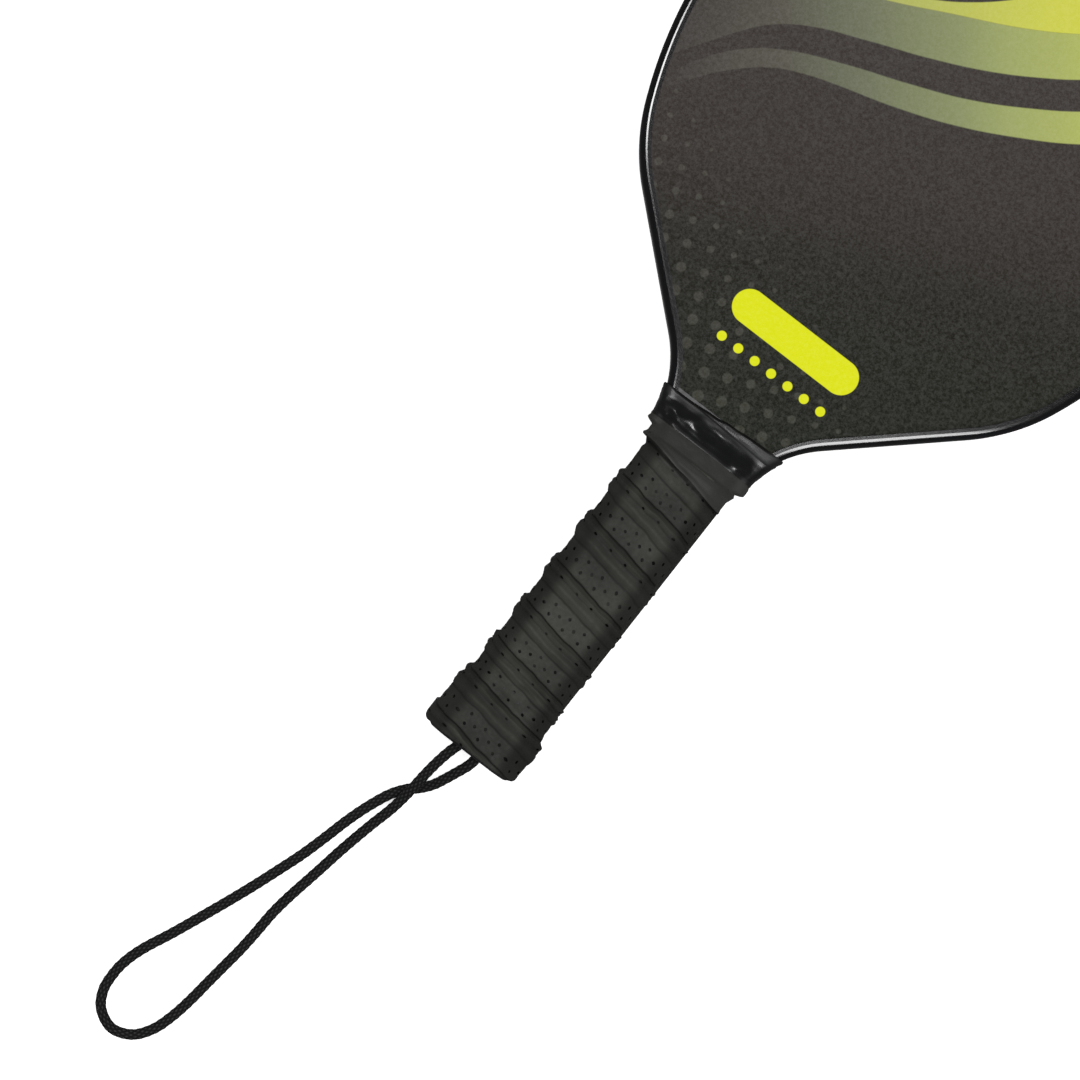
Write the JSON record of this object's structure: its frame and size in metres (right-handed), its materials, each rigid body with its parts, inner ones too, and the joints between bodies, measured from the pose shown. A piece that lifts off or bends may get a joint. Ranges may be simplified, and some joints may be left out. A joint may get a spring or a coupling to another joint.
{
  "type": "pickleball paddle",
  "caption": "Honeycomb-cored paddle with a wide blunt face, a glossy edge guard, a perforated wrapped grip with a flared butt, and a loop of braided wrist cord.",
  "frame": {"origin": "on the floor under the middle of the paddle lying face up, which is the bottom centre of its box without the wrist cord", "axes": "+Y along the paddle from the butt to the tip of the face, +Z out of the front face, +X to the right of the front face when the tip points up"},
  "size_m": [0.2, 0.5522, 0.036],
  "materials": {
    "core_polymer": "matte",
    "skin_laminate": "satin",
    "printed_film": "satin",
    "guard_polymer": "gloss",
    "pallet_foam": "matte",
    "cap_plastic": "satin",
    "staple_steel": "satin",
    "grip_leatherette": "matte",
    "matte_tape": "matte",
    "glossy_tape": "gloss",
    "braided_cord": "matte"
  },
  "bodies": {
    "root": {"honeycomb_core": "core_polymer", "handle_core": "core_polymer", "front_skin": "skin_laminate", "back_skin": "skin_laminate", "front_print_film": "printed_film", "back_print_film": "printed_film", "edge_guard": "guard_polymer", "front_handle_pallet": "pallet_foam", "back_handle_pallet": "pallet_foam", "butt_cap": "cap_plastic", "cap_staples": "staple_steel", "grip_staple": "staple_steel", "grip_wrap": "grip_leatherette", "finishing_tape": "matte_tape", "throat_collar": "glossy_tape", "wrist_cord": "braided_cord", "cord_knot": "braided_cord"}
  },
  "joints": []
}
